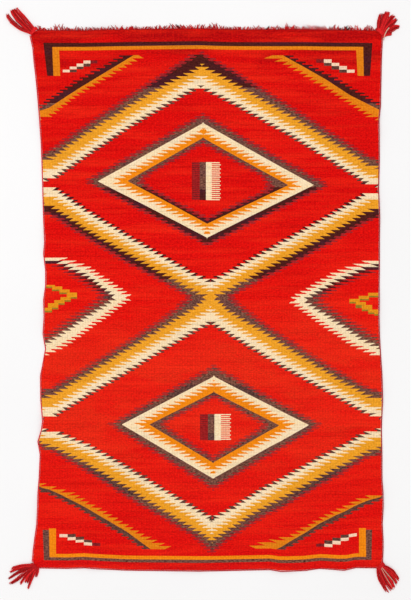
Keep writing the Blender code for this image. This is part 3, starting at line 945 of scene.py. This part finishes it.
def open_tree(name, inputs):
    """A new tree with a mesh, some numbers and a material as inputs, and its input sockets."""
    tree = bpy.data.node_groups.new(name, "GeometryNodeTree")
    face = tree.interface
    face.new_socket("Geometry", in_out="INPUT", socket_type="NodeSocketGeometry")
    for label, value in inputs.items():
        kind = "NodeSocketInt" if isinstance(value, int) else "NodeSocketFloat"
        face.new_socket(label, in_out="INPUT", socket_type=kind).default_value = value
    face.new_socket("Material", in_out="INPUT", socket_type="NodeSocketMaterial")
    face.new_socket("Geometry", in_out="OUTPUT", socket_type="NodeSocketGeometry")
    return tree, node(tree, "NodeGroupInput").outputs


def close_tree(tree, given, made):
    """Ends a tree: instances are made real, and the material is set."""
    whole = node(tree, "GeometryNodeRealizeInstances", {0: made})
    dressed = node(tree, "GeometryNodeSetMaterial", {
        "Geometry": whole, "Material": given["Material"]})
    node(tree, "NodeGroupOutput", {0: dressed})
    print(tree.name, "takes", [item.name for item in tree.interface.items_tree])
    return tree


def plied_yarn_tree():
    tree, given = open_tree("plied yarn", {
        "Ply Radius": 1.0 * MM, "Lay Radius": 1.0 * MM, "Turn Length": 12.0 * MM,
        "Step": 2.0 * MM, "Sides": 6})
    line = node(tree, "GeometryNodeMeshToCurve", {"Mesh": given["Geometry"]})
    even = node(tree, "GeometryNodeResampleCurve", {"Curve": line, "Length": given["Step"]},
                mode="LENGTH")
    upright = node(tree, "GeometryNodeSetCurveNormal", {"Curve": even}, mode="Z_UP")
    thick, phase = [node(tree, "GeometryNodeInputNamedAttribute", {"Name": label},
                         data_type="FLOAT") for label in ("thick", "phase")]
    round_line = node(tree, "GeometryNodeSetCurveRadius", {"Curve": upright, "Radius": thick})
    along = node(tree, "GeometryNodeSplineParameter")
    turns = node(tree, MATH, {0: along.outputs["Length"], 1: given["Turn Length"]},
                 operation="DIVIDE")
    moved = node(tree, MATH, {0: turns, 1: phase}, operation="ADD")
    normal = node(tree, "GeometryNodeInputNormal")
    tangent = node(tree, "GeometryNodeInputTangent")
    across = node(tree, VECTORS, {0: tangent, 1: normal}, operation="CROSS_PRODUCT")
    reach = node(tree, MATH, {0: given["Lay Radius"], 1: thick}, operation="MULTIPLY")
    ring = node(tree, "GeometryNodeCurvePrimitiveCircle", {
        "Resolution": given["Sides"], "Radius": given["Ply Radius"]})
    joined = node(tree, "GeometryNodeJoinGeometry")
    for ply in range(PLIES):
        start = node(tree, MATH, {0: moved, 1: ply / PLIES}, operation="ADD")
        angle = node(tree, MATH, {0: start, 1: 2 * math.pi}, operation="MULTIPLY")
        parts = []
        for way, turning in ((normal, "COSINE"), (across, "SINE")):
            share = node(tree, MATH, {0: angle}, operation=turning)
            size = node(tree, MATH, {0: share, 1: reach}, operation="MULTIPLY")
            parts.append(node(tree, VECTORS, {0: way, "Scale": size}, operation="SCALE"))
        away = node(tree, VECTORS, {0: parts[0], 1: parts[1]}, operation="ADD")
        strand = node(tree, "GeometryNodeSetPosition", {"Geometry": round_line, "Offset": away})
        tube = node(tree, "GeometryNodeCurveToMesh", {
            "Curve": strand, "Profile Curve": ring, "Scale": thick, "Fill Caps": True})
        join(tree, joined, {0: tube})
    smooth = node(tree, "GeometryNodeSetShadeSmooth", {0: joined})
    return close_tree(tree, given, smooth)


PLIED = plied_yarn_tree()

# %% Spinning yarn along paths
def grow(name, mesh, tree, **values):
    """Runs a Geometry Nodes tree on a mesh and keeps the result as a plain mesh object."""
    thing = show(name, mesh)
    grower = thing.modifiers.new("grower", "NODES")
    grower.node_group = tree
    for item in tree.interface.items_tree:
        if item.in_out == "INPUT" and item.name in values:
            grower[item.identifier] = values[item.name]
    return plain(thing)


def paths_mesh(name, paths):
    """Lines of (place, thickness) as a mesh of edges with the attributes that yarn reads."""
    places, edges, marks = [], [], []
    for path in paths:
        start, phase, tone = len(places), dice.random(), dice.random()
        edges += [(start + i, start + i + 1) for i in range(len(path) - 1)]
        for place, thick in path:
            places.append(Vector(place) * MM)
            marks.append((thick, phase, tone))
    mesh = bpy.data.meshes.new(name)
    mesh.from_pydata(places, edges, [])
    for label, values in zip(("thick", "phase", "tone"), zip(*marks)):
        mesh.attributes.new(label, "FLOAT", "POINT").data.foreach_set("value", values)
    return mesh


def yarn_sizes(radius, turn, step, sides, ply=0.55):
    """Settings of the plied yarn tree for a yarn's radius, turn and step in millimetres."""
    return {"Ply Radius": radius * ply * MM, "Lay Radius": radius * (1 - ply) * MM,
            "Turn Length": turn * MM, "Step": step * MM, "Sides": sides}


print("spinner ready")

# %% [markdown]
# Cord and tassel yarns are spun harder and dyed deeper than the weft. Their pattern follows the
# object's own coordinates in millimetres, because fibres of a twisted yarn run every way, and
# the "tone" attribute sets one yarn a little lighter or darker than the next.

# %% Plied wool for cords, worn ends and tassels
FIBRE = 1.2


def along_object(tree):
    place = node(tree, "ShaderNodeTexCoord")
    return node(tree, "ShaderNodeMapping", {
        "Vector": place.outputs["Object"], "Scale": (1 / (FIBRE * MM),) * 3})


def fibre_bumps(tree, place):
    """Fine hairs, and each yarn's own tone."""
    hairs = node(tree, NOISE, {"Vector": place, "Scale": 2.0, "Detail": 3.0, "Roughness": 0.7})
    tone = node(tree, "ShaderNodeAttribute", attribute_name="tone")
    shade = node(tree, MAP, {"Value": tone.outputs["Fac"], "To Min": 0.5, "To Max": 1.4})
    return hairs, shade


CORD_WOOL, FRAY_WOOL, TASSEL_WOOL, DARK_YARN, PALE_WOOL = [
    wool(name, colours, along_object, fibre_bumps) for name, *colours in (
        ("deep red plied cord wool", "CC1E26", "DC3236", "A01422", 0.6, 0.3, "B41C28"),
        ("frayed red wool ends", "C8141C", "DC302C", "8E0C14", 0.6, 0.3, "C02A28"),
        ("crimson tassel wool", "D61A20", "EE3A38", "A60E16", 0.6, 0.3, "BC161E"),
        ("dark brown frayed wool", "3E1A1C", "5C2C2A", "240C10", 0.5, 0.3, "4A2428"),
        ("undyed pink cream wool", "E8C2A8", "F4DCC8", "C49080", 0.5, 0.3, "DCA898"))]
print("cord wools ready")

# %% [markdown]
# Three edges carry a plied cord: both selvages and the bottom end. Each follows the cloth's own
# edge, a seam's width outside it, and rises with the cloth where a slack edge stands up.

# %% Selvage and end cords
CORD_TRIM = 1.0
STATION = 15.0


def cord_path(side):
    """A cord's middle line, its ends trimmed, at the height where the cloth's edge lies."""
    if side == "bottom":
        out = Vector((0, -1, 0))
        line = [Vector((x, low + EDGE_INSET, 0)) for x, _, low in ENDS]
    else:
        column, way = (1, -1) if side == "left" else (2, 1)
        out = Vector((way, 0, 0))
        line = [Vector((row[column] - way * EDGE_INSET, row[0], 0)) for row in SIDES]
        for place in line:
            place.y += bow(place.x, place.y)
    for end, inner in ((0, 1), (-1, -2)):
        line[end] = line[end] + (line[inner] - line[end]).normalized() * CORD_TRIM
    path = []
    for one, two in zip(line, line[1:]):
        steps = max(1, int((two - one).length / STATION))
        path += [one.lerp(two, step / steps) for step in range(steps)]
    path = [place + out * (CORD_RADIUS + CORD_SEAM) for place in (*path, line[-1])]
    for place in path:
        place.z = lift(place.x, place.y) + CORD_RADIUS
    return [(place, 1.0) for place in path]


CORD_SIZES = yarn_sizes(CORD_RADIUS, 11.0, 2.5, 7, ply=0.52)
for side, solid in (("left", "left_selvage_cord"), ("right", "right_selvage_cord"),
                    ("bottom", "bottom_end_cord")):
    cord = grow(f"plied_{side}_cord", paths_mesh(side, [cord_path(side)]), PLIED,
                **CORD_SIZES, Material=CORD_WOOL)
    hand_over(cord, solid)

# %% [markdown]
# The top end is worn: its cord has thinned and broken, and short yarn ends stand out of it with
# a fuzz of single fibres. Fibres are a job for instancing: one bent, tapering hair is set on
# points along the edge, each with its own turn and length from a seeded random node.

# %% A Geometry Nodes tree for frayed fibres
def fray_tree():
    tree, given = open_tree("frayed fibres", {
        "Count": 400, "Length": 6.0 * MM, "Fibre Radius": 0.3 * MM, "Seed": 3, "Spread": 0.7})
    line = node(tree, "GeometryNodeMeshToCurve", {"Mesh": given["Geometry"]})
    stations = node(tree, "GeometryNodeCurveToPoints", {"Curve": line, "Count": given["Count"]},
                    mode="COUNT")
    jitter = node(tree, "FunctionNodeRandomValue", {
        0: (-0.004, -0.0012, -0.0008), 1: (0.004, 0.0012, 0.0008), "Seed": given["Seed"]},
        data_type="FLOAT_VECTOR")
    scattered = node(tree, "GeometryNodeSetPosition", {"Geometry": stations, "Offset": jitter})
    hair = node(tree, "GeometryNodeCurvePrimitiveBezierSegment", {
        "Resolution": 4, "Start": (0, 0, 0), "Start Handle": (0.1, 0.35, 0.02),
        "End Handle": (-0.1, 0.7, 0.05), "End": (0.12, 1.0, 0.0)})
    ring = node(tree, "GeometryNodeCurvePrimitiveCircle", {
        "Resolution": 4, "Radius": given["Fibre Radius"]})
    unscaled = node(tree, MATH, {0: 1.0, 1: given["Length"]}, operation="DIVIDE")
    along = node(tree, "GeometryNodeSplineParameter")
    taper = node(tree, MAP, {"Value": along, "To Min": 1.0, "To Max": 0.25})
    thin = node(tree, MATH, {0: taper, 1: unscaled}, operation="MULTIPLY")
    tapered = node(tree, "GeometryNodeSetCurveRadius", {"Curve": hair, "Radius": thin})
    tube = node(tree, "GeometryNodeCurveToMesh", {
        "Curve": tapered, "Profile Curve": ring, "Scale": thin, "Fill Caps": True})
    side = node(tree, MATH, {0: given["Spread"], 1: -1.0}, operation="MULTIPLY")
    lean, roll, long, tone = [
        node(tree, "FunctionNodeRandomValue", {2: low, 3: high, "Seed": seed}, data_type="FLOAT")
        for low, high, seed in ((side, given["Spread"], given["Seed"]), (-3.1, 3.1, 8),
                                (0.35, 1.0, 4), (0.0, 1.0, 6))]
    turn = node(tree, "ShaderNodeCombineXYZ", {"Y": roll, "Z": lean})
    scale = node(tree, MATH, {0: long, 1: given["Length"]}, operation="MULTIPLY")
    planted = node(tree, "GeometryNodeInstanceOnPoints", {
        "Points": scattered, "Instance": tube, "Rotation": turn, "Scale": scale})
    toned = node(tree, "GeometryNodeStoreNamedAttribute", {
        "Geometry": planted, "Name": "tone", "Value": tone}, data_type="FLOAT", domain="INSTANCE")
    return close_tree(tree, given, toned)


FRAYED = fray_tree()

# %% The worn top end
WORN_RADIUS = 1.6
WORN_STRANDS, WORN_STEP = 3, 9.0
YARN_ENDS, END_STEPS = 260, 5
BUNCH = 4
EDGE_STEPS = 60
# Longer loose ends: distance across, length, sideways lean.
LONG_ENDS = (
    (-596, 9, 0.9), (-284, 13, 0.3), (-100, 14, -0.4), (97, 10, 0.9), (263, 24, 0.25),
    (282, 17, 0.8), (475, 15, -0.2), (540, 11, 0.4),
)
# The same for ends of dark weft wool.
DARK_ENDS = ((452, 8, 1.0), (468, 16, 1.0), (478, 12, 1.3), (196, 13, 0.9), (-112, 17, -0.6))


def top_place(across, out, high):
    """A point on the worn end, out past the cloth's edge and high over its underside."""
    up = read(ENDS, 1, across)
    return Vector((across, up - EDGE_INSET + out, lift(across, up) + high))


def loose_end(across, length, lean, rise):
    """A yarn end that leaves the worn cord and comes to lie on the floor."""
    path = []
    sway = dice.uniform(-1.0, 1.0)
    for step in range(END_STEPS + 1):
        share = step / END_STEPS
        thickness = 1.3 - 0.9 * share ** 2
        place = top_place(across, 2.4 + length * share,
                          WORN_RADIUS * thickness + rise * (1 - share))
        place.x += lean * length * share + sway * math.sin(share * math.pi)
        path.append((place, thickness))
    return path


def frayed_bunches(bunches):
    """Loose ends in bunches, each end a little shorter than the one before it."""
    return [loose_end(across + strand * 1.4, length * (1 - 0.2 * strand), lean + 0.15 * strand,
                      0.4) for across, length, lean in bunches for strand in range(BUNCH)]


worn = []
first, last = ENDS[0][0] + CORD_TRIM, ENDS[-1][0] - CORD_TRIM
steps = int((last - first) / WORN_STEP)
for number in range(WORN_STRANDS):
    worn.append([
        (top_place(first + (last - first) * step / steps,
                   0.6 + 0.8 * number + dice.uniform(-0.6, 0.6), 1.7 + 0.5 * (number % 2)),
         0.75 + 0.2 * dice.random()) for step in range(steps + 1)])
for number in range(YARN_ENDS):
    across = first + (last - first) * (number + dice.random()) / YARN_ENDS
    clump = math.sin(across / 11) + math.sin(across / 29 + 1) + math.sin(across / 83 + 2)
    worn.append(loose_end(across, dice.uniform(4.0, 14.0) + 4.5 * max(0.0, clump),
                          dice.uniform(-0.9, 0.9), dice.uniform(0.1, 0.8)))
edge_line = [(top_place(first + (last - first) * step / EDGE_STEPS, 3.4, 2.1), 1.0)
             for step in range(EDGE_STEPS + 1)]

WORN_SIZES = yarn_sizes(WORN_RADIUS, 7.0, 1.6, 5)
worn_pieces = [
    grow("worn_end_yarns", paths_mesh("worn", worn + frayed_bunches(LONG_ENDS)), PLIED,
         **WORN_SIZES, Material=FRAY_WOOL),
    grow("worn_end_dark_yarns", paths_mesh("dark ends", frayed_bunches(DARK_ENDS)), PLIED,
         **WORN_SIZES, Material=DARK_YARN),
    grow("worn_end_fuzz", paths_mesh("fuzz", [edge_line]), FRAYED, **{
        "Count": 900, "Length": 11.0 * MM, "Fibre Radius": 0.42 * MM, "Material": FRAY_WOOL})]
for piece in worn_pieces:
    hand_over(piece, "worn_end_fringe")

# %% [markdown]
# At each corner the cords' ends are gathered, bound round with yarn and left loose as a tassel.
# The loose yarns leave the binding side by side, turn to the way that their lock lies, sink to
# the floor and taper out.

# %% The corner tassels
# Corner across and up, way the head points in degrees, and its locks: width in the middle and
# at the tip, then the lock's centre line from its root.
TASSELS = {
    "tassel_top_left": (-620, 943, 135, (
        (37, 26, ((-627, 945), (-650, 970), (-670, 991), (-688, 1013), (-694, 1026))),
        (15, 10, ((-634, 941), (-668, 954), (-690, 971), (-707, 989), (-720, 1009))),
        (4, 3, ((-690, 970), (-699, 974), (-708, 976))))),
    "tassel_top_right": (597, 938, 45, (
        (21, 17, ((592, 944), (598, 974), (605, 1010))),
        (21, 17, ((598, 943), (611, 979), (626, 1016))),
        (20, 15, ((601, 941), (622, 971), (646, 1004))),
        (16, 12, ((604, 938), (632, 966), (658, 990))),
        (18, 10, ((605, 934), (635, 951), (652, 961), (667, 961))),
        (16, 9, ((605, 927), (622, 936), (640, 938))))),
    "tassel_bottom_left": (-616.5, -938, 225, (
        (11, 6, ((-621, -935), (-667, -940), (-705, -949))),
        (11, 6, ((-621, -938), (-671, -946), (-711, -964))),
        (11, 6, ((-620, -940), (-667, -957), (-714, -987))),
        (11, 6, ((-619, -942), (-655, -966), (-683, -988), (-710, -1004))),
        (11, 6, ((-617, -943), (-648, -970), (-672, -1005))),
        (9, 5, ((-616, -944), (-640, -973), (-656, -1000))),
        (10, 5, ((-614, -944), (-634, -968), (-648, -1003))),
        (11, 6, ((-612, -944), (-622, -962), (-632, -985), (-645, -1022))),
        (9, 5, ((-608, -944), (-611, -962), (-615, -980))))),
    "tassel_bottom_right": (595, -936, 315, (
        (17, 9, ((592, -946), (596, -975), (607, -1002), (627, -1038))),
        (17, 9, ((597, -946), (608, -975), (623, -1003), (641, -1027))),
        (17, 8, ((601, -945), (617, -968), (634, -993), (649, -1020))),
        (17, 8, ((604, -943), (624, -960), (643, -981), (657, -1004))),
        (15, 8, ((606, -939), (632, -953), (651, -970), (666, -992))))),
}
# A few strands of undyed pink wool that were spun in: how thick, and where each one lies.
PALE_STRANDS = {
    "tassel_top_right": ((1.0, ((611, 914, 1.6), (613, 930, 7), (622, 948, 7), (630, 958, 6))),),
    "tassel_bottom_right": (
        (0.8, ((604, -944, 8), (630, -975, 7), (651, -1000, 3), (656, -1008, 1.6))),
        (0.7, ((601, -946, 8), (622, -985, 7), (640, -1012, 3), (644, -1024, 1.6)))),
}
HEAD_LENGTH = 11.0
HEAD_HALF_WIDTH = 16.5
HEAD_HALF_HEIGHT = 3.2
BINDING_TURNS = 5
YARN_RADIUS = 1.9
COIL_STEPS, LOCK_STEPS, PALE_STEPS = 20, 12, 10


def on_curve(points, share):
    """A place on a smooth curve through points, from the first (0) to the last one (1)."""
    spot = share * (len(points) - 1)
    low = min(int(spot), len(points) - 2)
    part = spot - low
    one, two = points[low], points[low + 1]
    before, after = points[max(low - 1, 0)], points[min(low + 2, len(points) - 1)]
    return (one * 2 + (two - before) * part + (before * 2 - one * 5 + two * 4 - after) * part ** 2
            + (one * 3 - before - two * 3 + after) * part ** 3) / 2


def binding_path(corner, way):
    """The yarn wound round a tassel's root, as one flattened coil."""
    side = Vector((-way.y, way.x, 0))
    path = []
    steps = BINDING_TURNS * COIL_STEPS
    for step in range(steps + 1):
        share = step / steps
        angle = 2 * math.pi * BINDING_TURNS * share
        place = corner + way * (1 + share * HEAD_LENGTH) + side * (
            HEAD_HALF_WIDTH * math.cos(angle))
        place.z = YARN_RADIUS + HEAD_HALF_HEIGHT * (1 + math.sin(angle))
        path.append((place, 0.85))
    return path


def lock_yarn(points, width, tip_width, share, layer):
    """One loose yarn, which keeps its own share of the lock's width from root to tip."""
    reach = dice.uniform(0.86, 1.0)
    sway, beat = dice.uniform(-1.4, 1.4), dice.uniform(1.0, 2.4)
    root = width * 0.75
    path = []
    for step in range(LOCK_STEPS + 1):
        along = step / LOCK_STEPS * reach
        ahead = (on_curve(points, along + 0.01) - on_curve(points, along - 0.01)).normalized()
        wide = (root + (width - root) * along * 2 if along < 0.5
                else width + (tip_width - width) * (along * 2 - 1))
        offset = (share - 0.5) * wide + sway * math.sin(along * math.pi * beat)
        here = on_curve(points, along) + Vector((-ahead.y, ahead.x, 0)) * offset
        fall = max(0.0, 1 - along * 3)
        here.z = YARN_RADIUS * (1 + 1.7 * layer * (1 - 0.6 * along)) + 2.4 * fall
        path.append((here, 1.0 - 0.7 * max(0.0, step / LOCK_STEPS - 0.55) ** 1.2))
    return path


for name, (across, up, angle, locks) in TASSELS.items():
    way = Vector((math.cos(math.radians(angle)), math.sin(math.radians(angle)), 0))
    yarns = [binding_path(Vector((across, up, 0)), way)]
    for width, tip_width, line in locks:
        points = [Vector((*place, 0)) for place in line]
        count = round(width / YARN_RADIUS)
        yarns += [lock_yarn(points, width, tip_width, (number + 0.5) / count, number % 2)
                  for number in range(count)]
    pale = [[(on_curve([Vector(place) for place in line], step / PALE_STEPS), thickness)
             for step in range(PALE_STEPS + 1)]
            for thickness, line in PALE_STRANDS.get(name, ())]
    for kind, paths, fibre in (("yarns", yarns, TASSEL_WOOL), ("pale_yarns", pale, PALE_WOOL)):
        if paths:
            piece = grow(f"{name}_{kind}", paths_mesh(name, paths), PLIED,
                         **yarn_sizes(YARN_RADIUS, 11.0, 2.6, 6), Material=fibre)
            hand_over(piece, name)

# %% [markdown]
# Last, the pieces that are worked onto the cloth are gathered into one list.

edging = DRESSED[1:]
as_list(edging)
